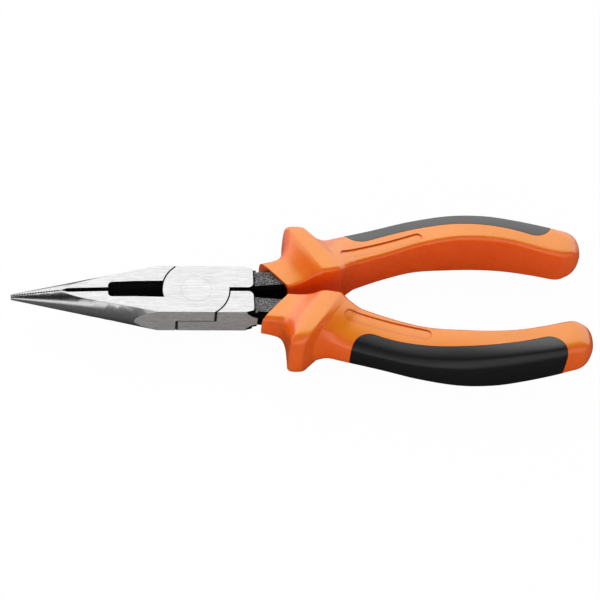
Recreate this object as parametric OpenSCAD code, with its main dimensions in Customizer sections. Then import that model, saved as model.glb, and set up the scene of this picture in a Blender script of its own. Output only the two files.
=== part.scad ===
// Long-nose side-cutting pliers with two-part moulded handles.
// Millimetres. X runs from the tips (-X) to the handle ends (+X), Z is the pivot axis, and the origin
// is on that axis at the back face of the joint. The upper jaw and the upper handle are on +Y.

/* [Jaws] */
// Distance from the pivot axis to the jaw tips
jaw_length = 51.7; // [48:0.1:58]
// Radius of the closed nose at its tip
tip_radius = 0.85; // [0.8:0.05:1.6]
// Rounding of the tip's end
tip_round = 0.4; // [0.1:0.05:0.6]
// Angle between the nose's cone and its axis
nose_angle = 11.4; // [11:0.1:13]
// Angle at which the flat faces thin towards the tips
face_angle = 2.6; // [0.5:0.1:3.5]
// Distance from the pivot axis at which the flat faces start to thin
face_break = 17; // [14:0.5:22]
// Gap between the closed gripping faces
bite_gap = 0.04; // [0.02:0.01:0.1]
// Pitch of the gripping teeth
tooth_pitch = 0.75; // [0.6:0.05:1.2]
// Depth of the gripping teeth
tooth_depth = 0.28; // [0.15:0.01:0.4]
// Plain stretch between the tip and the first tooth
tooth_lead = 0.7; // [0.3:0.1:1.5]
// Length of the gripping faces, from the tips back to the slit between the jaws
grip_face_length = 13.9; // [10:0.1:16]
// Width of the slit between the jaws, and between the heels
slit_width = 1.3; // [0.6:0.05:1.6]

/* [Cutter] */
// Distance from the pivot axis to the front end of the cutter recess
cutter_start = 24.6; // [20:0.1:28]
// Width of the cutter recess across both jaws at the face, at its front end
cutter_width = 4.9; // [4:0.1:6]
// Width of the cutter recess where it runs into the joint
cutter_mouth = 5.5; // [4:0.1:6.4]
// Corner radius of the cutter recess
cutter_corner = 1.2; // [0.6:0.1:2]
// Height of the land behind each cutting edge
cutter_land = 0.3; // [0.15:0.05:0.6]
// Depth of the recess's upright wall
cutter_wall = 1.4; // [0.8:0.1:2]

/* [Joint] */
// Thickness of the joint over both halves
joint_thickness = 9.3; // [8:0.1:11]
// Width of the joint between its ground sides
joint_width = 15.6; // [14:0.1:17]
// Radius of each lap disc
disc_radius = 9.35; // [9.2:0.05:10.5]
// Gap between a lap disc and the shoulder around it
shoulder_gap = 0.28; // [0.1:0.01:0.3]
// Gap between the two lap faces
lap_gap = 0.1; // [0.03:0.01:0.12]
// Radius of the rivet's flush heads
rivet_head_radius = 4.25; // [3.6:0.05:4.8]
// Radius of the rivet's shank
rivet_shank_radius = 2.8; // [2.2:0.05:3.2]
// Depth of the rivet's countersunk heads
rivet_head_depth = 1.5; // [1:0.1:2]
// Radial clearance of the rivet in the lever that turns on it
rivet_clearance = 0.04; // [0.02:0.01:0.08]

/* [Heels and tangs] */
// Distance from the pivot axis to the end of the ground heels
heel_length = 16.1; // [14.5:0.1:17]
// Corner radius of the heels
heel_corner = 1.5; // [0.5:0.1:2.5]
// Radius of the shallow scoops forged into the heels' outer corners
scoop_radius = 12; // [9:0.5:16]
// Depth of the scoops in the side of the heels
scoop_depth = 0.95; // [0.7:0.05:1.2]
// How far the heel tapers out past its end to meet the tang
heel_root = 1.1; // [0.6:0.1:1.6]
// Thickness of a tang where it leaves the heel
neck_thickness = 6.8; // [5.5:0.1:7.4]
// Width of a tang where it leaves the heel
neck_width = 6.6; // [5.6:0.1:6.8]
// Width of the bevel along a tang's edges
neck_bevel = 1; // [0.6:0.1:1.4]
// Angle at which a tang leaves the joint
neck_angle = 5; // [3:0.5:8]
// Width of the tang inside its handle
blade_width = 5; // [4:0.1:5.6]
// Thickness of the tang inside its handle
blade_thickness = 4; // [3:0.1:5]

/* [Handle curve] */
// Distance from the pivot axis to the handle ends
handle_reach = 111.6; // [108:0.5:118]
// Distance from the pivot axis to the widest part of the handles
bow_x = 79; // [76:0.5:81]
// Height of the handle's middle line above the tool's axis at its widest
bow_y = 20; // [19:0.5:22]
// Radius of the handle's bow
bow_radius = 78; // [74:1:84]
// Length of the handles' rounded ends
butt_length = 6.4; // [5:0.1:8]

/* [Handle section] */
// How far the grip's outer side stands out from the bow
grip_outer = 6.8; // [6:0.1:7.4]
// How far the grip's inner side stands in from the bow
grip_inner = 4.8; // [4.4:0.1:5.2]
// Thickness of the grip at its waist behind the guard
waist_thickness = 14.5; // [13.8:0.1:15.5]
// Thickness of the grip at the bow
grip_thickness = 18; // [16.8:0.1:18.6]
// Thickness of the grip near its end
rear_thickness = 14.6; // [13.8:0.1:15.5]
// Share of its thickness that the grip loses from its inner to its outer side
grip_taper = 0.3; // [0.1:0.01:0.34]

/* [Guard] */
// Height of the guard's outer edge above the tool's axis
guard_reach = 20.6; // [19:0.1:22]
// Thickness of the guard flange along the handle
guard_width = 4.5; // [3.8:0.1:5.5]
// Thickness of the guard over its front and back
guard_thickness = 19.8; // [18:0.1:21]
// Distance from the pivot axis to the guard's outer front edge
guard_x = 25.3; // [25:0.1:27]
// Thickness of the collar at its mouth
mouth_thickness = 9.2; // [8.8:0.1:10]
// Width of the open gap around the tang at the collar's mouth
mouth_gap = 0.4; // [0.2:0.05:0.6]
// Depth of that gap behind the mouth
mouth_gap_depth = 2.5; // [1:0.1:4]
// Gap between a moulded piece and what it is moulded on
mould_gap = 0.03; // [0.02:0.01:0.06]

/* [Soft grip] */
// Depth of the soft grip in its pocket
soft_depth = 2; // [1.4:0.1:2.4]
// Distance from the pivot axis to the soft grip's front end
soft_start = 42.6; // [42:0.1:48]
// Distance from the soft grip's rear end to the handle's end
soft_inset = 8.4; // [6:0.1:12]
// Radius of the soft grip's inner edge in plan
soft_edge_radius = 71.4; // [66:1:76]
// Corner radius of the soft grip
soft_corner = 5; // [2:0.5:6]
// Length of the pill-shaped recess on each handle face
pill_length = 24.8; // [20:0.1:26]
// Width of the pill-shaped recess
pill_width = 3; // [2.4:0.1:3.6]
// Depth of the pill-shaped recess
pill_depth = 0.5; // [0.2:0.05:0.6]

/* [Hidden] */
$fn = 96;
over = 1;                             // how far a cutting shape runs past what it cuts
half_t = joint_thickness / 2;
half_w = joint_width / 2;
bite = bite_gap / 2;
slit_start = jaw_length - grip_face_length;
tooth_count = floor((grip_face_length - tooth_lead) / tooth_pitch);

// ---- helpers ----

// Points of an arc about a centre, from one angle to another
function arc(centre, radius, from, to, steps = 6) =
    [for (i = [0:steps]) let (a = from + (to - from) * i / steps) centre + radius * [cos(a), sin(a)]];

// Catmull-Rom curve through rows of numbers, with a number of steps between rows
function spline(rows, steps) = let (last = len(rows) - 1) [
    for (i = [0:last - 1], k = [0:steps - 1])
        let (a = rows[max(i - 1, 0)], b = rows[i], c = rows[i + 1], d = rows[min(i + 2, last)], t = k / steps)
        0.5 * (2 * b + (c - a) * t + (2 * a - 5 * b + 4 * c - d) * t * t + (3 * b - a - 3 * c + d) * t * t * t),
    rows[last]];

// Puts a shape that was drawn about the lap plane into the part's frame
module from_back_face() translate([0, 0, half_t]) children();

// Turns a shape over about the tool's axis, which makes the other half of the pliers
module turned_over() rotate([180, 0, 0]) children();

// ---- steel levers ----

// The closed nose: a cone along the tool's axis with a rounded tip
module nose_form() {
    root_radius = tip_radius + jaw_length * tan(nose_angle);
    profile = concat([[0, 0]], arc([tip_radius - tip_round, tip_round], tip_round, -90, 0),
                     [[root_radius, jaw_length], [0, jaw_length]]);
    translate([-jaw_length, 0, 0]) rotate([0, 90, 0]) rotate_extrude() polygon(profile);
}

// Side view of the jaws: parallel faces that thin towards the tips
module face_form() {
    thin = half_t - (jaw_length - face_break) * tan(face_angle);
    rotate([90, 0, 0]) linear_extrude(joint_width + 2 * over, center = true)
        polygon([[-jaw_length, thin], [-face_break, half_t], [0, half_t],
                 [0, -half_t], [-face_break, -half_t], [-jaw_length, -thin]]);
}

// Plan of the lower jaw, with its row of teeth, its slit and its cutting edge
module jaw_plan() {
    teeth_x = -jaw_length + tooth_lead;
    teeth = [for (i = [0:tooth_count - 1], p = [[0, 0], [0.4, -tooth_depth], [0.8, 0]])
             [teeth_x + (i + p[0]) * tooth_pitch, p[1] - bite]];
    polygon(concat([[-jaw_length, -half_w], [-jaw_length, -bite]], teeth,
                   [[-slit_start, -bite], [-slit_start + 1.5 * slit_width, -slit_width / 2],
                    [-cutter_start, -slit_width / 2], [-cutter_start, -bite], [0, -bite], [0, -half_w]]));
}

// The bevels that sharpen the lower jaw's cutting edge, sunk in from the front and the back face
module cutter_recess() {
    wall_z = half_t - cutter_wall;
    land_z = cutter_land / 2;
    bevel_side = [[over, land_z], [-bite, land_z], [-cutter_mouth / 2, wall_z],
                  [-cutter_mouth / 2, half_t + over], [over, half_t + over]];
    plan = concat(arc([-cutter_start + cutter_corner, -cutter_width / 2 + cutter_corner], cutter_corner, 180, 270),
                  [[-disc_radius, -cutter_mouth / 2], [0, -cutter_mouth / 2], [0, over], [-cutter_start, over]]);
    for (side = [0, 1]) mirror([0, 0, side])
        intersection() {
            linear_extrude(half_t + over) difference() {
                polygon(plan);
                circle(disc_radius);
            }
            translate([-cutter_start - over, 0, 0]) rotate([90, 0, 90])
                linear_extrude(cutter_start + over) polygon(bevel_side);
        }
}

// Plan of the upper heel behind the joint
module heel_plan() {
    r = heel_corner;
    polygon(concat([[0, slit_width / 2]], arc([heel_length - r, slit_width / 2 + r], r, -90, 0),
                   arc([heel_length - r, half_w - r], r, 0, 90), [[0, half_w]]));
}

// The tang's neck: a straight bar with bevelled edges, from the heel to the mouth of the handle
neck_start = [heel_length - 3, (neck_width + slit_width) / 2];
neck_length = 14;
neck_end = neck_start + neck_length * [cos(neck_angle), sin(neck_angle)];
module neck(grow = 0) {
    hw = neck_width / 2 + grow;
    ht = neck_thickness / 2 + grow;
    b = neck_bevel;
    translate(neck_start) rotate([0, 0, neck_angle]) rotate([90, 0, 90]) linear_extrude(neck_length)
        polygon([[hw, ht - 2 * b], [hw - b, ht], [b - hw, ht], [-hw, ht - b],
                 [-hw, b - ht], [b - hw, -ht], [hw - b, -ht], [hw, 2 * b - ht]]);
}

// The tang's blade: a flat bar that follows the bow of the handle inside the moulding
bow_centre = [bow_x, bow_y - bow_radius];
blade_from = 112;                     // where the blade joins the bow, as an angle about the bow's centre
blade_to = 79;                        // where the blade ends
module blade(grow = 0) {
    hw = blade_width / 2 + grow;
    side = hw * [-sin(neck_angle), cos(neck_angle)];
    foot = neck_end - [2, 0.3];
    outline = concat([foot + side], arc(bow_centre, bow_radius + hw, blade_from, blade_to, 16),
                     arc(bow_centre, bow_radius - hw, blade_to, blade_from, 16), [foot - side]);
    linear_extrude(blade_thickness + 2 * grow, center = true) polygon(outline);
}

// The rivet's form, which both levers are bored for
module rivet_form(grow = 0) {
    head = rivet_head_radius + grow;
    shank = rivet_shank_radius + grow;
    inner_z = half_t - rivet_head_depth;
    rotate_extrude() polygon([[0, -half_t], [head, -half_t], [shank, -inner_z],
                              [shank, inner_z], [head, half_t], [0, half_t]]);
}

// One lever: the lower jaw, the front lap disc and the upper tang. Turned over, it is the other lever.
module lever(rivet_gap) {
    scoop = [heel_length + 2 * heel_root, half_w + scoop_radius - scoop_depth, half_t + 1.2 * heel_root];
    root = heel_length + heel_root;
    difference() {
        union() {
            intersection() {
                nose_form();
                face_form();
                linear_extrude(joint_thickness, center = true) jaw_plan();
            }
            linear_extrude(half_t) intersection() {
                circle(disc_radius);
                square([2 * disc_radius, joint_width], center = true);
            }
            linear_extrude(joint_thickness, center = true) heel_plan();
            linear_extrude(neck_thickness, center = true)
                polygon([[heel_length - heel_corner, neck_width], [root, neck_width], [root, half_w],
                         [heel_length - heel_corner, half_w]]);
            neck();
            blade();
        }
        cutter_recess();
        translate([0, 0, -half_t - over]) linear_extrude(half_t + over + lap_gap / 2)
            circle(disc_radius + shoulder_gap);
        for (side = [-1, 1]) translate([scoop[0], scoop[1], side * scoop[2]]) sphere(scoop_radius);
        rivet_form(rivet_gap);
    }
}

// ---- moulded handles ----

smooth_steps = 3;                     // rings between two stations of the grip
corner_cut = 0.28;                    // share of each side that rounds a section's corners
round_land = 0.5;                     // flat share of a face, towards a round outer side
edge_land = 0.74;                     // the same towards the inner side
crisp_land = 0.86;                    // the same where the face ends in a crisp edge

// One station across a handle: outer edge, inner edge, half thickness, flat shares towards both edges,
// and the share of the thickness that is lost towards the outer edge
function station(outer, inner, half, land_out, land_in, taper = 0) =
    [outer[0], outer[1], inner[0], inner[1], half, land_out, land_in, taper];

// A station square to the bow, at an angle from its crown, with its reach to both sides of the bow
function bow_station(angle, out, in, thickness, taper) =
    let (away = [sin(angle), cos(angle)])
    station(bow_centre + away * (bow_radius + out), bow_centre + away * (bow_radius - in), thickness / 2,
            round_land, edge_land, taper);

// Height of the rounded end above the tool's axis, where the bow runs out into it
butt_y = bow_centre[1] + sqrt(pow(bow_radius, 2) - pow(handle_reach - butt_length - bow_x, 2));

// A station of the rounded end, at a share of its length and drawn in to a share of its full size
function butt_station(run, share) =
    let (x = handle_reach - butt_length * (1 - run), land = round_land - run / 10)
    station([x, butt_y + share * butt_outer], [x, butt_y - share * grip_inner], share * rear_thickness / 2,
            land, land + share / 5);

// Collar, from its slanted mouth to the foot of the guard
mouth_outer = [heel_length + 2.1, half_w + 2.1];
mouth_inner = [heel_length + 10.1, 1];
guard_inner = [guard_x + 10.6, 2.8];
gh = guard_thickness / 2;
mh = mouth_thickness / 2;
collar = [
    station(mouth_outer, mouth_inner, mh, 0.6, crisp_land),
    station(mouth_outer + [3.1, 0.5], mouth_inner + [2.2, 0.5], mh + 0.5, 0.6, crisp_land),
    station([guard_x - 1.7, mouth_outer[1] + 1.4], mouth_inner + [4.6, 1], mh + 1.4, 0.55, crisp_land),
    station([guard_x - 0.5, mouth_outer[1] + 3.6], mouth_inner + [6.8, 1.5], mh + 2.9, 0.55, crisp_land),
    station([guard_x - 0.1, guard_reach - 3.6], guard_inner - [0.9, 0.3], gh - 0.9, 0.58, crisp_land)];
guard = [
    station([guard_x, guard_reach - 0.8], guard_inner, gh - 0.2, 0.6, crisp_land),
    station([guard_x + 0.8, guard_reach], guard_inner + [0.9, 0.1], gh, 0.6, crisp_land),
    station([guard_x + guard_width - 0.6, guard_reach], guard_inner + [guard_width + 0.2, 0.8], gh, 0.6, crisp_land),
    station([guard_x + guard_width, guard_reach - 0.6], guard_inner + [guard_width + 1, 1.2], gh - 0.3, 0.6, 0.8)];
waist = waist_thickness / 2;
front_angle = asin((guard_x + 19.5 - bow_x) / bow_radius);
rear_angle = asin((handle_reach - butt_length - 5.2 - bow_x) / bow_radius);
butt_outer = grip_outer - 0.4;
grip = [
    station([guard_x + 7.1, guard_reach - 2.7], guard_inner + [6.6, 2.3], waist + 1.8, round_land, 0.78, 0.08),
    station([guard_x + 10.9, guard_reach - 3], guard_inner + [9, 4], waist + 1.1, round_land, 0.76, 0.2),
    bow_station(front_angle, grip_outer + 1.3, grip_inner + 0.1, waist_thickness + 1, grip_taper),
    bow_station(0.73 * front_angle, grip_outer + 0.1, grip_inner + 0.5, waist_thickness, grip_taper + 0.02),
    bow_station(0.45 * front_angle, grip_outer, grip_inner + 0.1, waist_thickness + 1.2, grip_taper),
    bow_station(0.15 * front_angle, grip_outer, grip_inner, grip_thickness, 0.84 * grip_taper),
    bow_station(0.2 * rear_angle, grip_outer - 0.5, grip_inner - 0.1, grip_thickness - 0.3, 0.43 * grip_taper),
    bow_station(0.6 * rear_angle, grip_outer - 0.95, grip_inner - 0.1, rear_thickness + 1.9, 0.25 * grip_taper),
    bow_station(rear_angle, grip_outer - 0.9, grip_inner + 0.1, rear_thickness, 0),
    butt_station(0, 0.98),
    butt_station(0.45, 0.9),
    butt_station(0.75, 0.74),
    butt_station(0.94, 0.48),
    butt_station(1, 0.22)];
stations = concat(spline(concat(collar, [guard[0]]), 2), guard, spline(grip, smooth_steps));

// Corner cutting: each corner gives way to two points on its two sides
function cut_corners(points) = let (n = len(points)) [
    for (i = [0:n - 1], side = [-1, 1])
        points[i] + corner_cut * (points[(i + side + n) % n] - points[i])];

// Corners between a section's side and its front face, on the side whose flat share is given
function shoulder(land) = let (k = 1 - land) [[1, 1 - k], [1 - 0.3 * k, 1 - 0.45 * k], [land, 1]];

// A section of unit half width and half height: flat faces joined by rounded shoulders
function section(land_out, land_in) = let (
    outer = shoulder(land_out), inner = shoulder(land_in), up = [0:2], down = [2:-1:0])
    cut_corners(concat(outer, [for (i = down) [-inner[i][0], inner[i][1]]],
                       [for (i = up) -inner[i]], [for (i = down) [outer[i][0], -outer[i][1]]]));

// One ring of a handle, drawn in by a depth
function ring(s, depth) =
    let (outer = [s[0], s[1]], inner = [s[2], s[3]], middle = (outer + inner) / 2,
         across = (outer - inner) / 2, share = 1 - depth / norm(across))
    [for (p = section(s[5], s[6])) let (q = middle + share * p[0] * across, lost = s[7] * (1 + p[0]) / 2)
        [q[0], q[1], (s[4] * (1 - lost) - depth) * p[1]]];

// A closed skin through rings of points
module loft(rings) {
    n = len(rings[0]);
    last = len(rings) - 1;
    polyhedron([for (r = rings, p = r) p],
               concat([[for (i = [0:n - 1]) i]],
                      [for (k = [0:last - 1], i = [0:n - 1])
                          [k * n + i, (k + 1) * n + i, (k + 1) * n + (i + 1) % n, k * n + (i + 1) % n]],
                      [[for (i = [n - 1:-1:0]) last * n + i]]));
}

// The outer form of a handle, drawn in by a depth, between two distances from the pivot axis
run_on = 5;                           // how far a partial form runs past what it shapes
module handle_form(depth = 0, from = 0, to = handle_reach)
    loft([for (s = stations) if (s[0] >= from && s[0] <= to && s[4] > 2 * depth) ring(s, depth)]);

// Plan of the soft grip: everything outside one long edge, with corners tangent to it
soft_rear = handle_reach - soft_inset;
soft_centre = [bow_x - 3.8, bow_y + 1 - soft_edge_radius];
function soft_corner_at(x) = let (reach = soft_edge_radius + soft_corner)
    [x, soft_centre[1] + sqrt(pow(reach, 2) - pow(x - soft_centre[0], 2))];
module soft_plan(grow = 0) {
    front = soft_corner_at(soft_start + soft_corner);
    rear = soft_corner_at(soft_rear - soft_corner);
    from = atan2(front[1] - soft_centre[1], front[0] - soft_centre[0]);
    to = atan2(rear[1] - soft_centre[1], rear[0] - soft_centre[0]);
    top = bow_y + 2 * grip_outer;
    r = soft_corner + grow;
    polygon(concat([[front[0] - r, top]], arc(front, r, 180, 180 + from),
                   arc(soft_centre, soft_edge_radius - grow, from, to, 12),
                   arc(rear, r, 180 + to, 360), [[rear[0] + r, top]]));
}

// Plan of the pill-shaped recess on both faces of a handle
pill_start = [guard_x + guard_width + 12.7, 10.35];
pill_angle = 16.7;
pill_run = pill_length - pill_width;
module pill_plan() {
    translate(pill_start) rotate(pill_angle) union() {
        circle(d = pill_width);
        translate([pill_run, 0]) circle(d = pill_width);
        translate([0, -pill_width / 2]) square([pill_run, pill_width]);
    }
}

// The open gap around the tang behind the collar's slanted mouth
module mouth_opening() {
    depth = [mouth_gap_depth, 0];
    intersection() {
        neck(mouth_gap);
        linear_extrude(2 * mouth_thickness, center = true)
            polygon([mouth_outer + depth, mouth_inner + depth, mouth_inner, [heel_length, mouth_inner[1]],
                     [heel_length, mouth_outer[1]]]);
    }
}

// The upper handle's hard moulding
module sleeve() {
    difference() {
        handle_form();
        difference() {
            linear_extrude(2 * guard_thickness, center = true) soft_plan(mould_gap);
            handle_form(soft_depth + mould_gap, soft_start - run_on, soft_rear + run_on);
        }
        difference() {
            linear_extrude(2 * guard_thickness, center = true) pill_plan();
            handle_form(pill_depth, guard_x + guard_width, pill_start[0] + pill_length + run_on);
        }
        mouth_opening();
        neck(mould_gap);
        blade(mould_gap);
    }
}

// The upper handle's soft grip
module soft_grip() {
    difference() {
        intersection() {
            handle_form(0, soft_start - run_on, soft_rear + run_on);
            linear_extrude(2 * guard_thickness, center = true) soft_plan();
        }
        handle_form(soft_depth, soft_start - run_on, soft_rear + run_on);
    }
}

// ---- pieces ----

module lower_jaw_lever() color("gainsboro") from_back_face() lever(0);
module upper_jaw_lever() color("lightgray") from_back_face() turned_over() lever(rivet_clearance);
module pivot_rivet() color("silver") from_back_face() rivet_form();
module upper_handle_sleeve() color("darkorange") from_back_face() sleeve();
module lower_handle_sleeve() color("orange") from_back_face() turned_over() sleeve();
module upper_soft_grip() color("dimgray") from_back_face() soft_grip();
module lower_soft_grip() color("black") from_back_face() turned_over() soft_grip();

lower_jaw_lever();
upper_jaw_lever();
pivot_rivet();
upper_handle_sleeve();
lower_handle_sleeve();
upper_soft_grip();
lower_soft_grip();
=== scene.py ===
import bpy
import bmesh
from math import asin, atan2, cos, degrees, pi, radians, sin, sqrt, tan
from mathutils import Matrix, Vector


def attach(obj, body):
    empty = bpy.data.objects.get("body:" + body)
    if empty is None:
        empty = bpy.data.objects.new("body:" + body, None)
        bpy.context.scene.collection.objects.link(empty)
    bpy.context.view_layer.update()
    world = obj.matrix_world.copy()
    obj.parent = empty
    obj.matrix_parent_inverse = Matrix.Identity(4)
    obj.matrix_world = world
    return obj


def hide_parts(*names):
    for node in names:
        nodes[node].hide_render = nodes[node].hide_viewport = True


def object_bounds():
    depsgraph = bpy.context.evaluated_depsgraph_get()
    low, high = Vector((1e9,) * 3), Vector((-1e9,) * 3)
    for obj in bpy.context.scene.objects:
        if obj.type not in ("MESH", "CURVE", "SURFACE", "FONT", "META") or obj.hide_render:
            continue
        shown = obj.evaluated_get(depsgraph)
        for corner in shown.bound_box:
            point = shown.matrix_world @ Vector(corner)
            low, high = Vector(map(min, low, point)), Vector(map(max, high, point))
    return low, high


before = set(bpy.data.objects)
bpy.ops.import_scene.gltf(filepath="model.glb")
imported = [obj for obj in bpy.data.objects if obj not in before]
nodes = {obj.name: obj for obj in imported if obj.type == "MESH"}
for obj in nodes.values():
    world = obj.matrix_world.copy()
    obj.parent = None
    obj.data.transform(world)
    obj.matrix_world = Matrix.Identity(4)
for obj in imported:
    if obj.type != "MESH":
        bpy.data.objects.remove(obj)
cad_box = [list(corner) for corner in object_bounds()]

# ---- named sizes in millimetres and degrees, with the solid model's own names ----

# joint: its two faces, its lap discs and its rivet
joint_thickness, joint_width = 9.3, 15.6
disc_radius, shoulder_gap, rivet_head_radius = 9.35, 0.28, 4.25
# jaws: the cone, the flat faces, the teeth, the slit and the cutter's recess
jaw_length, tip_radius, nose_angle, face_angle, face_break = 51.7, 0.85, 11.4, 2.6, 17
grip_face_length, slit_width, tooth_depth = 13.9, 1.3, 0.28
cutter_start, cutter_mouth = 24.6, 5.5
# heel, and the tang's bevelled neck and its blade inside the handle
heel_length = 16.1
neck_width, neck_thickness, neck_bevel, neck_angle, neck_length = 6.6, 6.8, 1, 5, 14
blade_width, blade_thickness, blade_from, blade_to = 5, 4, 112, 79
# handle: its reach and bow, its section along the bow, its guard and its mouth around the tang
handle_reach, bow_x, bow_y, bow_radius, butt_length = 111.6, 79, 20, 78, 6.4
grip_outer, grip_inner, grip_taper = 6.8, 4.8, 0.3
waist_thickness, grip_thickness, rear_thickness = 14.5, 18, 14.6
guard_reach, guard_width, guard_thickness, guard_x = 20.6, 4.5, 19.8, 25.3
mouth_thickness, mouth_gap, mouth_gap_depth = 9.2, 0.4, 2.5
# soft grip and pill-shaped recess
soft_depth, soft_start, soft_inset, soft_edge_radius, soft_corner = 2, 42.6, 8.4, 71.4, 5
pill_length, pill_width, pill_depth, pill_angle = 24.8, 3, 0.5, 16.7

# derived places
slit_end = grip_face_length - jaw_length
neck_foot = Vector((heel_length - 3, (neck_width + slit_width) / 2))
neck_along = Vector((cos(radians(neck_angle)), sin(radians(neck_angle))))
bow_centre = Vector((bow_x, bow_y - bow_radius))
mouth_outer, mouth_inner = (heel_length + 2.1, joint_width / 2 + 2.1), (heel_length + 10.1, 1)
guard_inner = (guard_x + 10.6, 2.8)
soft_rear = handle_reach - soft_inset
soft_centre = (bow_x - 3.8, bow_y + 1 - soft_edge_radius)
pill_start = Vector((guard_x + guard_width + 12.7, 10.35))
pill_along = Vector((cos(radians(pill_angle)), sin(radians(pill_angle))))
pill_run = pill_length - pill_width

# Pieces are drawn in millimetres about the plane where the levers lap. MM and LAP bring them into the part's
# frame, which is in metres and has its origin on the joint's back face.
MM = 0.001
LAP = joint_thickness / 2

# ---- sizes of the finer mouldings made here ----

# flat share of a section's side: nearly round, edged and crisp
round_land, edge_land, crisp_land = 0.5, 0.74, 0.86
# shares of each side that are cut off a section's corners, one round after another
CORNER_CUTS = (0.28, 0.25, 0.25)
# sections drawn for each station of the collar and of the grip, and points of the blade's arcs
COLLAR_STEPS, GRIP_STEPS, BLADE_STEPS = 4, 6, 24
# gaps between the moulding and the tang, and between the plans of pocket and grip
mould_gap, pocket_gap = 0.04, 0.12
# how far from the pivot the tools that give pocket and recess their depth start
core_start = 30
# edges of the mouldings and grips that turn by more than this stay sharp
SHARP_ANGLE = 32

# ---- tones and strengths ----

# grey of the steel where it is ground flat, ground on its sides and turned, partly painted light: the faces
# are kept darker and the sides lighter for the bright wall and the dark front they face; and the painted
# shade that the turned nose loses where it faces the bright wall, so that it doesn't clip to white
FACE_TONE, SIDE_TONE, NOSE_TONE, NOSE_PAINTED_SHADE = 0.5, 0.75, 0.85, 0.42
# grey of the cuts, a black finish on the cutter's bevels and painted shade in the slit and the bite, of the
# black forging and its bright grains, and of the joint's inner faces
CUT_BLACK_AND_SHADE, FORGED_TONE, GRAIN_TONE, INSIDE_TONE = 0.006, 0.002, 0.27, 0.2
# share of its tone that a seam loses, and what the rim of the rivet's head loses
SEAM_LOSS, RIM_LOSS = 0.85, 0.08
# roughness of the turned nose, the ground steel, the rivet, the black forging, and the cuts and inner faces
NOSE_ROUGH, GROUND_ROUGH, RIVET_ROUGH, FORGED_ROUGH, INSIDE_ROUGH = 0.24, 0.42, 0.40, 0.55, 0.5
# roughness of the plastic and of the rubber
PLASTIC_ROUGH, RUBBER_ROUGH = 0.27, 0.42
# orange lit on broad faces and shaded on flanks, painted light and shade on one orange; painted shade in a
# recess's corner; and black rubber; a cloudy noise mixes each pair
ORANGE_LIT_FACES = (0.80, 0.216, 0.002), (0.83, 0.232, 0.003)
ORANGE_SHADED_FLANKS = (0.87, 0.108, 0.001), (0.90, 0.122, 0.001)
ORANGE_PAINTED_SHADE = (0.55, 0.05, 0.001)
BLACKS = (0.0008, 0.0008, 0.0008), (0.0016, 0.0016, 0.0017)
# floor: its tone in plain light, what gloss sees of it in front of the tool and how much more behind it, and
# the share of pure white that the camera sees
FLOOR_TONE, FLOOR_IN_FRONT, FLOOR_BEHIND, FLOOR_WHITE = 0.9, 0.10, 0.88, 0.98
# world: its plain light; in gloss the wall above and behind and the low front, both added to the dark rest
WORLD_DIFFUSE, WALL_BRIGHT, WALL_FRONT, WALL_DARK = 0.50, 2.42, 1.0, 0.05
# radiance of the softboxes behind and in front
BACK_LAMP, FRONT_LAMP = 2.0, 1.6

# ---- camera ----

# focal length and frame in pixels, sensor in millimetres
FOCAL_PIXELS, FRAME_PIXELS, SENSOR = 2075.6, 600, 36
# turns in radians, the point it aims at in millimetres, and its distance from that in metres
CAMERA_LEAN, CAMERA_TURN, CAMERA_ROLL = 0.6027, -0.1618, 0.1386
CAMERA_AIM, CAMERA_DISTANCE = Vector((29.57, -0.442, LAP)), 0.588
# middle of the tool, which the floor and the lamps are set about, in metres
STUDIO_MIDDLE = Vector((0.03, 0, 0))
# how far the floor reaches from there and how far it stays under the tool, in metres
FLOOR_REACH, FLOOR_GAP = 2.5, 0.0002


# ---- the handle's form: stations across it, from the collar's mouth to the rounded end ----

def station(outer, inner, half, land_out, land_in, taper=0):
    """Outer and inner edge, half thickness, flat share towards each, and the share lost at the outer edge."""
    return [outer[0], outer[1], inner[0], inner[1], half, land_out, land_in, taper]


# places of the outer edge's x and of the half thickness in a station
OUTER_X, HALF = 0, 4


def bow_station(angle, out, inward, thickness, taper):
    """A station square to the bow."""
    away = Vector((sin(angle), cos(angle)))
    return station(bow_centre + away * (bow_radius + out), bow_centre + away * (bow_radius - inward),
                   thickness / 2, round_land, edge_land, taper)


def butt_station(run, share):
    """A station of the rounded end, at a share of its length and with a share of the grip's section."""
    x = handle_reach - butt_length * (1 - run)
    y = bow_centre.y + sqrt(bow_radius ** 2 - (handle_reach - butt_length - bow_x) ** 2)
    land = round_land - run / 10
    return station((x, y + share * (grip_outer - 0.4)), (x, y - share * grip_inner),
                   share * rear_thickness / 2, land, land + share / 5)


def spline(rows, steps):
    """Catmull-Rom rows between rows."""
    last, out = len(rows) - 1, []
    for i in range(last):
        quad = [rows[max(i - 1, 0)], rows[i], rows[i + 1], rows[min(i + 2, last)]]
        for k in range(steps):
            t = k / steps
            out.append([0.5 * (2 * b + (c - a) * t + (2 * a - 5 * b + 4 * c - d) * t * t
                               + (3 * b - a - 3 * c + d) * t ** 3) for a, b, c, d in zip(*quad)])
    return out + [rows[last]]


def soften(rows, times):
    """Cuts the corners of a run of rows, and keeps its two ends."""
    for _ in range(times):
        cut = [rows[0]]
        for a, b in zip(rows, rows[1:]):
            cut += [[p + (q - p) * t for p, q in zip(a, b)] for t in (0.25, 0.75)]
        rows = cut + [rows[-1]]
    return rows


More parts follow.
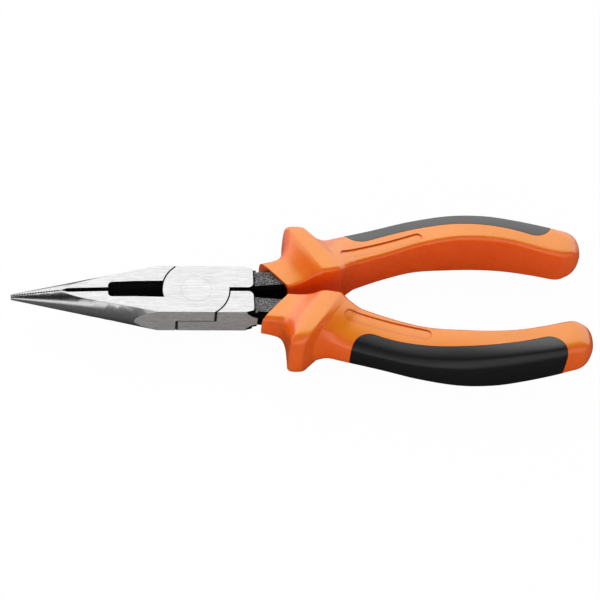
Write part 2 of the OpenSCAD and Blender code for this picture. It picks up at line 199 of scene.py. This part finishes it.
def collar_stations():
    """From the slanted mouth around the tang, rising to the front of the guard."""
    half, (x0, y0), (x1, y1) = mouth_thickness / 2, mouth_outer, mouth_inner
    return [
        station(mouth_outer, mouth_inner, half, 0.6, crisp_land),
        station((x0 + 3.1, y0 + 0.5), (x1 + 2.2, y1 + 0.5), half + 0.5, 0.6, crisp_land),
        station((guard_x - 1.7, y0 + 1.4), (x1 + 4.6, y1 + 1), half + 1.4, 0.55, crisp_land),
        station((guard_x - 0.5, y0 + 3.6), (x1 + 6.8, y1 + 1.5), half + 2.9, 0.55, crisp_land),
        station((guard_x - 0.1, guard_reach - 3.6), (guard_inner[0] - 0.9, guard_inner[1] - 0.3),
                guard_thickness / 2 - 0.9, 0.58, crisp_land)]


def guard_stations():
    """Front edge, crown and rear edge of the guard flange."""
    half, rear, (x, y) = guard_thickness / 2, guard_x + guard_width, guard_inner
    return [
        station((guard_x, guard_reach - 0.8), (x, y), half - 0.2, 0.6, crisp_land),
        station((guard_x + 0.8, guard_reach), (x + 0.9, y + 0.1), half, 0.6, crisp_land),
        station((rear - 0.6, guard_reach), (x + guard_width + 0.2, y + 0.8), half, 0.6, crisp_land),
        station((rear, guard_reach - 0.6), (x + guard_width + 1, y + 1.2), half - 0.3, 0.6, 0.8)]


def grip_stations():
    """The slope behind the guard, the waist, the bow and the rounded end."""
    front = asin((guard_x + 19.5 - bow_x) / bow_radius)
    rear = asin((handle_reach - butt_length - 5.2 - bow_x) / bow_radius)
    half, (x, y) = waist_thickness / 2, guard_inner
    return [
        station((guard_x + 7.1, guard_reach - 2.7), (x + 6.6, y + 2.3), half + 1.8, round_land, 0.78, 0.08),
        station((guard_x + 10.9, guard_reach - 3), (x + 9, y + 4), half + 1.1, round_land, 0.76, 0.2),
        bow_station(front, grip_outer + 1.3, grip_inner + 0.1, waist_thickness + 1, grip_taper),
        bow_station(0.73 * front, grip_outer + 0.1, grip_inner + 0.5, waist_thickness, grip_taper + 0.02),
        bow_station(0.45 * front, grip_outer, grip_inner + 0.1, waist_thickness + 1.2, grip_taper),
        bow_station(0.15 * front, grip_outer, grip_inner, grip_thickness, 0.84 * grip_taper),
        bow_station(0.2 * rear, grip_outer - 0.5, grip_inner - 0.1, grip_thickness - 0.3, 0.43 * grip_taper),
        bow_station(0.6 * rear, grip_outer - 0.95, grip_inner - 0.1, rear_thickness + 1.9, 0.25 * grip_taper),
        bow_station(rear, grip_outer - 0.9, grip_inner + 0.1, rear_thickness, 0),
        butt_station(0, 0.98), butt_station(0.45, 0.9), butt_station(0.75, 0.74), butt_station(0.94, 0.48),
        butt_station(1, 0.22)]


def handle_stations():
    """All stations: curved along the collar and along the grip, and rounded over the guard's edges."""
    guard, grip = guard_stations(), grip_stations()
    collar = spline(collar_stations() + [guard[0]], COLLAR_STEPS)
    edge = soften(collar[-2:] + guard[1:] + grip[:1], 2)
    return collar[:-2] + edge[:-1] + spline(grip, GRIP_STEPS)


def shoulder(land):
    """A quarter of a section, bevelled between its flats."""
    bevel = 1 - land
    return [(1, 1 - bevel), (1 - 0.3 * bevel, 1 - 0.45 * bevel), (land, 1)]


def section(land_out, land_in):
    """A section of unit half width and half height, its corners cut until it is round between its flats."""
    outer, inner = shoulder(land_out), shoulder(land_in)
    points = (outer + [(-x, z) for x, z in reversed(inner)] + [(-x, -z) for x, z in inner]
              + [(x, -z) for x, z in reversed(outer)])
    for cut in CORNER_CUTS:
        n = len(points)
        points = [tuple(a + cut * (b - a) for a, b in zip(points[i], points[(i + side) % n]))
                  for i in range(n) for side in (-1, 1)]
    return points


def ring(row, depth):
    """Points of one station, drawn in by a depth."""
    outer_x, outer_y, inner_x, inner_y, half_height, land_out, land_in, taper = row
    outer, inner = Vector((outer_x, outer_y)), Vector((inner_x, inner_y))
    middle, across = (outer + inner) / 2, (outer - inner) / 2
    share = 1 - depth / across.length
    points = []
    for x, z in section(land_out, land_in):
        half = half_height * (1 - taper * (1 + x) / 2) - depth
        points.append(((middle + share * x * across).to_3d() + Vector((0, 0, half * z + LAP))) * MM)
    return points


# ---- making pieces ----

def new_object(name, bm):
    """A piece from a bmesh, which is used up."""
    bmesh.ops.recalc_face_normals(bm, faces=bm.faces)
    mesh = bpy.data.meshes.new(name)
    bm.to_mesh(mesh)
    bm.free()
    piece = bpy.data.objects.new(name, mesh)
    bpy.context.scene.collection.objects.link(piece)
    return piece


def loft(name, depth=0, start=0):
    """The handle's outer form, drawn in by a depth, from a distance behind the pivot axis to its end."""
    rows = [row for row in handle_stations() if row[OUTER_X] >= start and row[HALF] > 2 * depth]
    bm = bmesh.new()
    previous = []
    for i, row in enumerate(rows):
        points = ring(row, depth)
        is_end = i in (0, len(rows) - 1)
        made = bmesh.ops.create_circle(bm, cap_ends=is_end, segments=len(points), radius=MM)
        for vert, point in zip(made["verts"], points):
            vert.co = point
        edges = list(dict.fromkeys(edge for vert in made["verts"] for edge in vert.link_edges))
        if previous:
            bmesh.ops.bridge_loops(bm, edges=previous + edges)
        previous = edges
    return new_object(name, bm)


def bar(name, end_points, along):
    """A straight bar from the outline of its end, in millimetres about the lap plane; along is in metres."""
    bm = bmesh.new()
    face = bm.faces.new([bm.verts.new((x * MM, y * MM, (z + LAP) * MM)) for x, y, z in end_points])
    grown = bmesh.ops.extrude_face_region(bm, geom=[face])
    far_end = [v for v in grown["geom"] if isinstance(v, bmesh.types.BMVert)]
    bmesh.ops.translate(bm, verts=far_end, vec=along)
    return new_object(name, bm)


def prism(name, plan, reach):
    """An upright solid over a plan, as high above the lap plane as below it."""
    return bar(name, [(x, y, -reach) for x, y in plan], (0, 0, 2 * reach * MM))


def carve(piece, tool, operation="DIFFERENCE"):
    """Cuts a piece with a tool, which is used up."""
    cut = piece.modifiers.new("cut", "BOOLEAN")
    cut.operation, cut.object, cut.solver = operation, tool, "EXACT"
    bpy.context.view_layer.update()
    mesh = bpy.data.meshes.new_from_object(piece.evaluated_get(bpy.context.evaluated_depsgraph_get()))
    old = piece.data
    piece.modifiers.clear()
    piece.data = mesh
    bpy.data.meshes.remove(old)
    bpy.data.objects.remove(tool)
    return piece


def arc(centre, radius, start, end, steps):
    """Points of an arc about a centre, from one angle to another."""
    turns = [radians(start + (end - start) * i / steps) for i in range(steps + 1)]
    return [(centre[0] + radius * cos(turn), centre[1] + radius * sin(turn)) for turn in turns]


def soft_corner_at(x):
    """Centre of a corner that is tangent to the soft grip's long edge."""
    reach = soft_edge_radius + soft_corner
    return x, soft_centre[1] + sqrt(reach ** 2 - (x - soft_centre[0]) ** 2)


def soft_plan(grow=0.0):
    """Plan of the soft grip: everything outside one long edge, with corners tangent to it."""
    front, rear = soft_corner_at(soft_start + soft_corner), soft_corner_at(soft_rear - soft_corner)
    turn_front, turn_rear = (degrees(atan2(y - soft_centre[1], x - soft_centre[0])) for x, y in (front, rear))
    top, radius = bow_y + 2 * grip_outer, soft_corner + grow
    return ([(front[0] - radius, top)] + arc(front, radius, 180, 180 + turn_front, 10)
            + arc(soft_centre, soft_edge_radius - grow, turn_front, turn_rear, 40)
            + arc(rear, radius, 180 + turn_rear, 360, 10) + [(rear[0] + radius, top)])


def pill_plan():
    """Plan of the recess with round ends."""
    return (arc(pill_start, pill_width / 2, pill_angle + 90, pill_angle + 270, 16)
            + arc(pill_start + pill_along * pill_run, pill_width / 2, pill_angle - 90, pill_angle + 90, 16))


def mouth_plan():
    """Plan of the collar's mouth, as deep as the open gap around the tang."""
    (x0, y0), (x1, y1) = mouth_outer, mouth_inner
    return [(x0 + mouth_gap_depth, y0), (x1 + mouth_gap_depth, y1), (heel_length, y1), (heel_length, y0)]


def neck_form(grow):
    """The tang's neck, as a tool that clears a handle around it."""
    wide, high, bevel = neck_width / 2 + grow, neck_thickness / 2 + grow, neck_bevel
    end = [(wide, high - 2 * bevel), (wide - bevel, high), (bevel - wide, high), (-wide, high - bevel),
           (-wide, bevel - high), (bevel - wide, -high), (wide - bevel, -high), (wide, 2 * bevel - high)]
    points = [(neck_foot.x - y * neck_along.y, neck_foot.y + y * neck_along.x, z) for y, z in end]
    return bar("neck_tool", points, (neck_along * neck_length * MM).to_3d())


def blade_form(grow):
    """The tang's blade, which follows the bow inside the handle, as a tool."""
    half = blade_width / 2 + grow
    foot = neck_foot + neck_length * neck_along - Vector((2, 0.3))
    side = half * Vector((-neck_along.y, neck_along.x))
    plan = ([tuple(foot + side)] + arc(bow_centre, bow_radius + half, blade_from, blade_to, BLADE_STEPS)
            + arc(bow_centre, bow_radius - half, blade_to, blade_from, BLADE_STEPS) + [tuple(foot - side)])
    return prism("blade_tool", plan, blade_thickness / 2 + grow)


def turned_over(piece, name):
    """The same piece for the other half of the tool, turned over about its long axis."""
    other = piece.copy()
    other.name = name
    other.data = piece.data.copy()
    other.data.transform(Matrix.Translation((0, 0, LAP * MM)) @ Matrix.Rotation(pi, 4, "X")
                         @ Matrix.Translation((0, 0, -LAP * MM)))
    bpy.context.scene.collection.objects.link(other)
    return other


def handle_moulding(name):
    """The hard moulding: pocket, recesses on both faces, and the bore around the tang with its open mouth."""
    moulding = loft(name)
    through = guard_thickness
    pocket = prism("pocket_tool", soft_plan(pocket_gap), through)
    carve(moulding, carve(pocket, loft("core_tool", soft_depth + mould_gap, core_start)))
    recess = prism("recess_tool", pill_plan(), through)
    carve(moulding, carve(recess, loft("core_tool", pill_depth, core_start)))
    mouth = prism("mouth_tool", mouth_plan(), through)
    carve(moulding, carve(neck_form(mouth_gap), mouth, "INTERSECT"))
    carve(moulding, neck_form(mould_gap))
    return carve(moulding, blade_form(mould_gap))


def grip_insert(name):
    """The soft grip, cut from the handle's own form so that it lies flush."""
    insert = carve(loft(name), prism("plan_tool", soft_plan(), guard_thickness), "INTERSECT")
    return carve(insert, loft("core_tool", soft_depth, core_start))


upper_sleeve, upper_grip = handle_moulding("upper_handle_moulding"), grip_insert("upper_grip_insert")
for piece in (upper_sleeve, upper_grip):
    piece.data.shade_smooth()
    piece.data.set_sharp_from_angle(angle=radians(SHARP_ANGLE))
lower_sleeve = turned_over(upper_sleeve, "lower_handle_moulding")
lower_grip = turned_over(upper_grip, "lower_grip_insert")


# ---- materials ----

class Field:
    """A number that varies over a surface, joined up from math nodes."""

    def __init__(self, tree, socket):
        self.tree, self.socket = tree, socket

    def join(self, operation, *others):
        node = self.tree.nodes.new("ShaderNodeMath")
        node.operation = operation
        for slot_in, value in zip(node.inputs, (self,) + others):
            if isinstance(value, Field):
                self.tree.links.new(value.socket, slot_in)
            else:
                slot_in.default_value = value
        return Field(self.tree, node.outputs[0])

    def __add__(self, other):
        return self.join("ADD", other)

    def __sub__(self, other):
        return self.join("SUBTRACT", other)

    def __mul__(self, other):
        return self.join("MULTIPLY", other)

    def __radd__(self, other):
        return self + other

    def __rsub__(self, other):
        return (self * -1) + other

    def __abs__(self):
        return self.join("ABSOLUTE")

    def low(self, other):
        return self.join("MINIMUM", other)

    def high(self, other):
        return self.join("MAXIMUM", other)

    def root(self):
        return self.join("SQRT")

    def step(self, start, end):
        """0 at start and 1 at end, with a smooth turn between."""
        node = self.tree.nodes.new("ShaderNodeMapRange")
        node.interpolation_type = "SMOOTHSTEP"
        self.tree.links.new(self.socket, node.inputs["Value"])
        node.inputs["From Min"].default_value = min(start, end)
        node.inputs["From Max"].default_value = max(start, end)
        node.inputs["To Min"].default_value = 0 if start < end else 1
        node.inputs["To Max"].default_value = 1 if start < end else 0
        return Field(self.tree, node.outputs["Result"])


class Finish:
    """A material under construction, with its coordinates in millimetres about the lap plane."""

    def __init__(self, name):
        self.material = bpy.data.materials.new(name)
        self.material.use_nodes = True
        self.tree = self.material.node_tree
        self.shader = self.tree.nodes["Principled BSDF"]
        place = self.node("ShaderNodeTexCoord")
        shift = self.node("ShaderNodeVectorMath", operation="MULTIPLY_ADD")
        self.link(place.outputs["Object"], shift.inputs[0])
        shift.inputs[1].default_value = (1 / MM,) * 3
        shift.inputs[2].default_value = (0, 0, -LAP)
        self.point = shift.outputs[0]
        self.x, self.y, self.z = self.split(self.point)
        self.normal_y, self.normal_z = self.split(place.outputs["Normal"])[1:]

    def node(self, kind, **values):
        node = self.tree.nodes.new(kind)
        for name, value in values.items():
            setattr(node, name, value)
        return node

    def link(self, out, into):
        self.tree.links.new(out, into)

    def split(self, vector):
        node = self.node("ShaderNodeSeparateXYZ")
        self.link(vector, node.inputs[0])
        return [Field(self.tree, out) for out in node.outputs]

    def noise(self, stretch=(1, 1, 1), scale=1, detail=3, rough=0.5):
        """Noise from about 0 to 1, stretched along each axis; scale is in features per millimetre."""
        drawn = self.node("ShaderNodeVectorMath", operation="MULTIPLY")
        self.link(self.point, drawn.inputs[0])
        drawn.inputs[1].default_value = stretch
        node = self.node("ShaderNodeTexNoise")
        self.link(drawn.outputs[0], node.inputs["Vector"])
        node.inputs["Scale"].default_value = scale
        node.inputs["Detail"].default_value = detail
        node.inputs["Roughness"].default_value = rough
        return Field(self.tree, node.outputs["Fac"])

    def mix_colour(self, share, a, b):
        """Goes from colour a to colour b as share goes from 0 to 1."""
        node = self.node("ShaderNodeMix", data_type="RGBA")
        self.link(share.socket, node.inputs["Factor"])
        for value, slot_in in ((a, node.inputs["A"]), (b, node.inputs["B"])):
            if isinstance(value, tuple):
                slot_in.default_value = value + (1,)
            else:
                self.link(value, slot_in)
        return node.outputs["Result"]

    def grey(self, value):
        """A colour of three equal numbers."""
        node = self.node("ShaderNodeCombineColor")
        for slot_in in node.inputs:
            self.link(value.socket, slot_in)
        return node.outputs["Color"]

    def bump(self, height, distance, round_edge=0):
        """Relief of a height field in shares of a distance, with edges rounded; both in millimetres."""
        node = self.node("ShaderNodeBump")
        node.inputs["Strength"].default_value = 1
        node.inputs["Distance"].default_value = distance * MM
        self.link(height.socket, node.inputs["Height"])
        if round_edge:
            edge = self.node("ShaderNodeBevel", samples=4)
            edge.inputs["Radius"].default_value = round_edge * MM
            self.link(edge.outputs[0], node.inputs["Normal"])
        self.link(node.outputs[0], self.shader.inputs["Normal"])

    def set(self, **values):
        """Gives the shader's inputs their values; an underscore in a name stands for a space."""
        for name, value in values.items():
            slot_in = self.shader.inputs[name.replace("_", " ")]
            if isinstance(value, Field):
                self.link(value.socket, slot_in)
            elif isinstance(value, bpy.types.NodeSocket):
                self.link(value, slot_in)
            else:
                slot_in.default_value = value


def rest_of(*regions):
    """1 where none of the regions is."""
    rest = 1 - regions[0]
    for region in regions[1:]:
        rest = rest * (1 - region)
    return rest


def grinding_marks(f):
    """Marks along the tool, long ones and fine ones, about 0."""
    return (f.noise((0.2, 4.2, 4.2), detail=4, rough=0.65) - 0.5,
            f.noise((0.5, 9, 9), detail=2, rough=0.6) - 0.5)


def from_pivot(f):
    """Distance from the pivot axis."""
    return (f.x * f.x + f.y * f.y).root()


def rivet_rim(f):
    """The fine ring where the rivet's flush head meets the lever."""
    return abs(from_pivot(f) - rivet_head_radius).step(0.12, 0.02)


def ground_tone(long_marks, fine_marks, rim):
    """Grey of the flat faces, which run on over the rivet's heads."""
    return FACE_TONE + long_marks * 0.5 + fine_marks * 0.25 - rim * RIM_LOSS


def steel_regions(f):
    """Where a lever is flat face, ground side, black cut (partly painted shade), turned nose and black
    forging.

    Each is 0 or 1, with a soft edge that is half a millimetre wide at most.
    """
    x, y, z = f.x, f.y, f.z
    half_width, scoop_start = joint_width / 2, 10.5
    under_face = (LAP - (x * -1 - face_break).high(0) * tan(radians(face_angle))) - abs(z)
    face = under_face.step(0.06, 0.02)
    side = abs(y).step(half_width - 0.06, half_width - 0.02) * (1 - face)
    jaws = x.step(-disc_radius + 0.5, -disc_radius + 0.4)
    slit = abs(y).step(slit_width / 2 + 0.04, slit_width / 2 + 0.02) * x.step(slit_end - 0.2, slit_end)
    cutter = (abs(y).step(cutter_mouth / 2 + 0.1, cutter_mouth / 2 + 0.05)
              * x.step(-cutter_start - 0.1, -cutter_start - 0.05))
    teeth = abs(y).step(tooth_depth + 0.08, tooth_depth + 0.04)
    cone_radius = (x + jaw_length) * tan(radians(nose_angle)) + tip_radius
    outside_cone = (y * y + z * z).root() - cone_radius
    # the cuts are painted near black: a black finish on the cutter's bevels, and painted shade in the deep
    # slit and where the jaws bite
    cut = slit.high(cutter).high(teeth) * outside_cone.step(-0.06, -0.12) * jaws * (1 - face)
    nose = jaws * rest_of(face, side, cut)
    forged = x.step(scoop_start, scoop_start + 0.5) * rest_of(face, side)
    return face, side, cut, nose, forged


def steel_seams(f, face, side, nose):
    """Dark lines around the lap discs, along the lap and where the closed jaws meet."""
    x, y, z = f.x, f.y, f.z
    lap_reach = 5.5
    # the disc meets a shoulder only where the other lever's jaw and heel stand beside it
    beside = (x * y * z).step(1, -1)
    shoulder_line = abs(from_pivot(f) - disc_radius - shoulder_gap / 2).step(0.30, 0.16) * beside
    lap_line = abs(z).step(0.24, 0.12) * abs(x).step(lap_reach + 0.1, lap_reach - 0.1) * side
    jaw_line = abs(y).step(0.2, 0.1) * x.step(slit_end + 0.2, slit_end) * (face + nose)
    return (shoulder_line * face.high(side)).high(lap_line).high(jaw_line)


def steel_finish():
    """Ground faces and sides, a turned nose, black cuts that are partly painted shade, and a black forged
    tang with grains.
    """
    f = Finish("ground steel")
    face, side, cut, nose, forged = steel_regions(f)
    inside = rest_of(nose, cut, side, face, forged)
    seam = steel_seams(f, face, side, nose)
    long_marks, fine_marks = grinding_marks(f)
    around = f.noise((5, 0.25, 0.25), rough=0.6) - 0.5
    patch = f.noise((0.3, 0.5, 0.5)) - 0.5
    speckle = f.noise(scale=2.6, detail=5, rough=0.75)

    # partly painted light: the faces' grey is kept low against the bright wall, and the sides' grey is raised
    # against the dark front
    face_tone = ground_tone(long_marks, fine_marks, rivet_rim(f) * face)
    side_tone = SIDE_TONE + long_marks * 0.9 + fine_marks * 0.8 + (speckle - 0.5) * 0.7
    # painted shade: the turned nose is darkened where it faces the bright wall, so that its reflection
    # doesn't clip to white
    wall_facing_shade = abs(f.normal_z).step(0.6, 0.85).high(f.normal_y.step(0, 0.3))
    nose_tone = NOSE_TONE - wall_facing_shade * NOSE_PAINTED_SHADE + around * 0.35 + fine_marks * 0.2 + (speckle - 0.5) * 0.5
    # the grains start a little behind the heel's end, leaving a black band at its foot: partly the forging's
    # black fillet, partly painted shade under the heel's step
    flat_top = abs(f.normal_z).step(0.93, 0.99) * f.x.step(heel_length + 0.3, heel_length + 0.7)
    forged_tone = FORGED_TONE + flat_top * (speckle.step(0.46, 0.60) * GRAIN_TONE + 0.003)
    tone = nose * nose_tone + cut * CUT_BLACK_AND_SHADE + side * side_tone + face * face_tone + forged * forged_tone
    tone = (tone + inside * INSIDE_TONE) * (1 - seam * SEAM_LOSS)

    roughness = (nose * (NOSE_ROUGH + around * 0.12) + side * (GROUND_ROUGH + long_marks * 0.1)
                 + face * (GROUND_ROUGH + long_marks * 0.12 + patch * 0.06)
                 + forged * (FORGED_ROUGH + (speckle - 0.5) * 0.3) + (cut + inside) * INSIDE_ROUGH)
    # black scale and the black cuts, which are partly painted shade, are less metallic than bare steel and
    # hardly shine
    dull = (forged * (1 - flat_top)).high(cut)
    f.set(Base_Color=f.grey(tone), Roughness=roughness, Metallic=1 - forged * 0.65 - cut - side * 0.3,
          Specular_IOR_Level=0.5 - dull * 0.42)
    relief = (face * (long_marks * 0.5 + fine_marks * 0.4) * 0.10
              + side * (long_marks * 0.5 + fine_marks * 0.5) * 0.16 + nose * around * 0.12 + forged * speckle)
    f.bump(relief, distance=0.06, round_edge=0.1)
    return f.material


def rivet_finish():
    """The rivet's heads, ground flat together with the faces around them."""
    f = Finish("rivet steel")
    long_marks, fine_marks = grinding_marks(f)
    f.set(Base_Color=f.grey(ground_tone(long_marks, fine_marks, rivet_rim(f))),
          Roughness=RIVET_ROUGH + long_marks * 0.12, Metallic=1.0)
    f.bump((long_marks * 0.5 + fine_marks * 0.4) * 0.1, distance=0.06, round_edge=0.06)
    return f.material


def recess_corner_shade(f):
    """1 in the corner around the pill-shaped recess of either handle, where shade is painted."""
    x, y = f.x - pill_start.x, abs(f.y) - pill_start.y
    run = (x * pill_along.x + y * pill_along.y).high(0).low(pill_run)
    x, y = x - run * pill_along.x, y - run * pill_along.y
    return abs((x * x + y * y).root() - pill_width / 2).step(0.2, 0.06)


def plastic_finish():
    """Thick orange plastic with painted light and shade: paler on broad faces, deeper on flanks, shaded in
    the recess's corner.
    """
    f = Finish("glossy orange plastic")
    cloud = f.noise(scale=0.09)
    orange_peel = f.noise(scale=1.6, detail=2)
    fine = f.noise(scale=9, detail=2, rough=0.6)
    # painted light and shade: broad level faces get the paler, lit orange and flanks the deeper, shaded one
    faces = f.mix_colour(cloud.step(0.3, 0.7), *ORANGE_LIT_FACES)
    shaded_flanks = f.mix_colour(cloud.step(0.3, 0.7), *ORANGE_SHADED_FLANKS)
    colour = f.mix_colour(abs(f.normal_z).step(0.62, 1.04), shaded_flanks, faces)
    # painted shade in the corner around the recess
    colour = f.mix_colour(recess_corner_shade(f) * 0.6, colour, ORANGE_PAINTED_SHADE)
    f.set(Base_Color=colour, Roughness=PLASTIC_ROUGH + (fine - 0.5) * 0.12 + (cloud - 0.5) * 0.08,
          Specular_IOR_Level=0.95, Specular_Tint=(1, 0.98, 0.8, 1), Coat_Weight=0.25, Coat_Roughness=0.2,
          Coat_IOR=1.5)
    f.bump(orange_peel * 0.7 + fine * 0.3, distance=0.02)
    return f.material


def rubber_finish():
    """Black rubber with a fine grain and cloudy gloss."""
    f = Finish("black rubber")
    grain = f.noise(scale=5, rough=0.6)
    cloud = f.noise(scale=0.12)
    f.set(Base_Color=f.mix_colour(cloud, *BLACKS), Specular_IOR_Level=0.95,
          Roughness=RUBBER_ROUGH + (grain - 0.5) * 0.14 + (cloud - 0.5) * 0.08)
    f.bump(grain, distance=0.03)
    return f.material


def dress(piece, material):
    """Gives a piece its material, in its only slot."""
    piece.data.materials.clear()
    piece.data.materials.append(material)


steel, plastic, rubber = steel_finish(), plastic_finish(), rubber_finish()
for name in ("lower_jaw_lever", "upper_jaw_lever"):
    dress(nodes[name], steel)
dress(nodes["pivot_rivet"], rivet_finish())
for piece, node, body, material, slot in (
        (upper_sleeve, "upper_handle_sleeve", "lower_jaw_half", plastic, "orange_plastic"),
        (upper_grip, "upper_soft_grip", "lower_jaw_half", rubber, "black_rubber"),
        (lower_sleeve, "lower_handle_sleeve", "upper_jaw_half", plastic, "orange_plastic"),
        (lower_grip, "lower_soft_grip", "upper_jaw_half", rubber, "black_rubber")):
    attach(piece, body)
    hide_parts(node)
    dress(piece, material)


# ---- studio ----

def ray_kinds(tree):
    """1 for rays that the camera sees straight or through a clear piece, and 1 for rays of gloss."""
    rays = tree.nodes.new("ShaderNodeLightPath").outputs
    seen = Field(tree, rays["Is Camera Ray"]).high(Field(tree, rays["Is Transmission Ray"]))
    return seen, Field(tree, rays["Is Glossy Ray"])


def background_floor():
    """A pale floor, nearly white to the camera; in gloss it is a dark card in front and a pale one behind."""
    bm = bmesh.new()
    bmesh.ops.create_grid(bm, x_segments=1, y_segments=1, size=FLOOR_REACH)
    lowest = cad_box[0][2]
    bmesh.ops.translate(bm, verts=bm.verts, vec=STUDIO_MIDDLE + Vector((0, 0, lowest - FLOOR_GAP)))
    floor = new_object("studio_floor", bm)
    material = bpy.data.materials.new("pale floor")
    material.use_nodes = True
    tree = material.node_tree
    tree.nodes.clear()
    new, link = tree.nodes.new, tree.links.new
    out, mix, card = new("ShaderNodeOutputMaterial"), new("ShaderNodeMixShader"), new("ShaderNodeBsdfDiffuse")
    white, place, split = new("ShaderNodeEmission"), new("ShaderNodeTexCoord"), new("ShaderNodeSeparateXYZ")
    link(place.outputs["Object"], split.inputs[0])
    behind = Field(tree, split.outputs[1]).step(0.02, 0.05)
    seen, mirrored = ray_kinds(tree)
    tone = FLOOR_TONE - mirrored * (FLOOR_TONE - FLOOR_IN_FRONT) + mirrored * behind * FLOOR_BEHIND
    grey = new("ShaderNodeCombineColor")
    for slot_in in grey.inputs:
        link(tone.socket, slot_in)
    link(grey.outputs["Color"], card.inputs["Color"])
    link((seen * FLOOR_WHITE).socket, mix.inputs["Fac"])
    link(card.outputs[0], mix.inputs[1])
    link(white.outputs[0], mix.inputs[2])
    link(mix.outputs[0], out.inputs["Surface"])
    floor.data.materials.append(material)


def studio_world():
    """White to the camera, even in plain light; in gloss bright above and behind, dark in front, dim low."""
    world = bpy.data.worlds.new("studio")
    bpy.context.scene.world = world
    world.use_nodes = True
    tree = world.node_tree
    tree.nodes.clear()
    new, link = tree.nodes.new, tree.links.new
    out, glow = new("ShaderNodeOutputWorld"), new("ShaderNodeBackground")
    direction, split = new("ShaderNodeTexCoord"), new("ShaderNodeSeparateXYZ")
    link(direction.outputs["Generated"], split.inputs[0])
    # turn about the tool's axis in degrees: 0 is straight up, 90 level behind and -90 level in front
    turn = Field(tree, split.outputs[1]).join("ARCTAN2", Field(tree, split.outputs[2])) * degrees(1)
    wall = turn.step(0, 14) * WALL_BRIGHT + turn.step(-57, -68) * WALL_FRONT + WALL_DARK
    seen, mirrored = ray_kinds(tree)
    strength = seen + (1 - seen) * ((1 - mirrored) * WORLD_DIFFUSE + mirrored * wall)
    link(strength.socket, glow.inputs["Strength"])
    link(glow.outputs[0], out.inputs["Surface"])


def softbox(name, turn, aside, distance, size, radiance, colour=(1, 1, 1)):
    """A rectangular lamp of even radiance that faces the tool, at a turn about its axis and a little aside.

    Gloss shows the world and not the lamp.
    """
    data = bpy.data.lights.new(name, "AREA")
    data.shape, data.size, data.size_y = "RECTANGLE", size[0], size[1]
    data.energy, data.color = radiance * pi * size[0] * size[1], colour
    lamp = bpy.data.objects.new(name, data)
    toward = Vector((aside, sin(radians(turn)), cos(radians(turn)))).normalized()
    lamp.location = STUDIO_MIDDLE + toward * distance
    lamp.rotation_euler = toward.to_track_quat("Z", "Y").to_euler()
    lamp.visible_glossy = False
    bpy.context.scene.collection.objects.link(lamp)


def camera():
    """Leans over the front of the tool, a little turned and rolled."""
    data = bpy.data.cameras.new("camera")
    data.lens, data.sensor_width, data.sensor_fit = SENSOR * FOCAL_PIXELS / FRAME_PIXELS, SENSOR, "AUTO"
    data.clip_start, data.clip_end = 0.01, 20
    right = Vector((cos(CAMERA_TURN), sin(CAMERA_TURN), 0))
    outward = sin(CAMERA_LEAN)
    back = Vector((sin(CAMERA_TURN) * outward, -cos(CAMERA_TURN) * outward, cos(CAMERA_LEAN)))
    up = back.cross(right)
    across, over = cos(CAMERA_ROLL), sin(CAMERA_ROLL)
    right, up = right * across + up * over, up * across - right * over
    place = CAMERA_AIM * MM + back * CAMERA_DISTANCE
    shot = bpy.data.objects.new("camera", data)
    shot.matrix_world = Matrix.Translation(place) @ Matrix((right, up, back)).transposed().to_4x4()
    bpy.context.scene.collection.objects.link(shot)
    bpy.context.scene.camera = shot


background_floor()
studio_world()
softbox("back_softbox", turn=35, aside=-0.3, distance=0.6, size=(0.8, 0.6), radiance=BACK_LAMP)
softbox("front_softbox", turn=-68, aside=0, distance=0.7, size=(0.9, 0.4), radiance=FRONT_LAMP,
        colour=(1, 0.96, 0.92))
camera()
bpy.context.scene.view_settings.view_transform = "Standard"
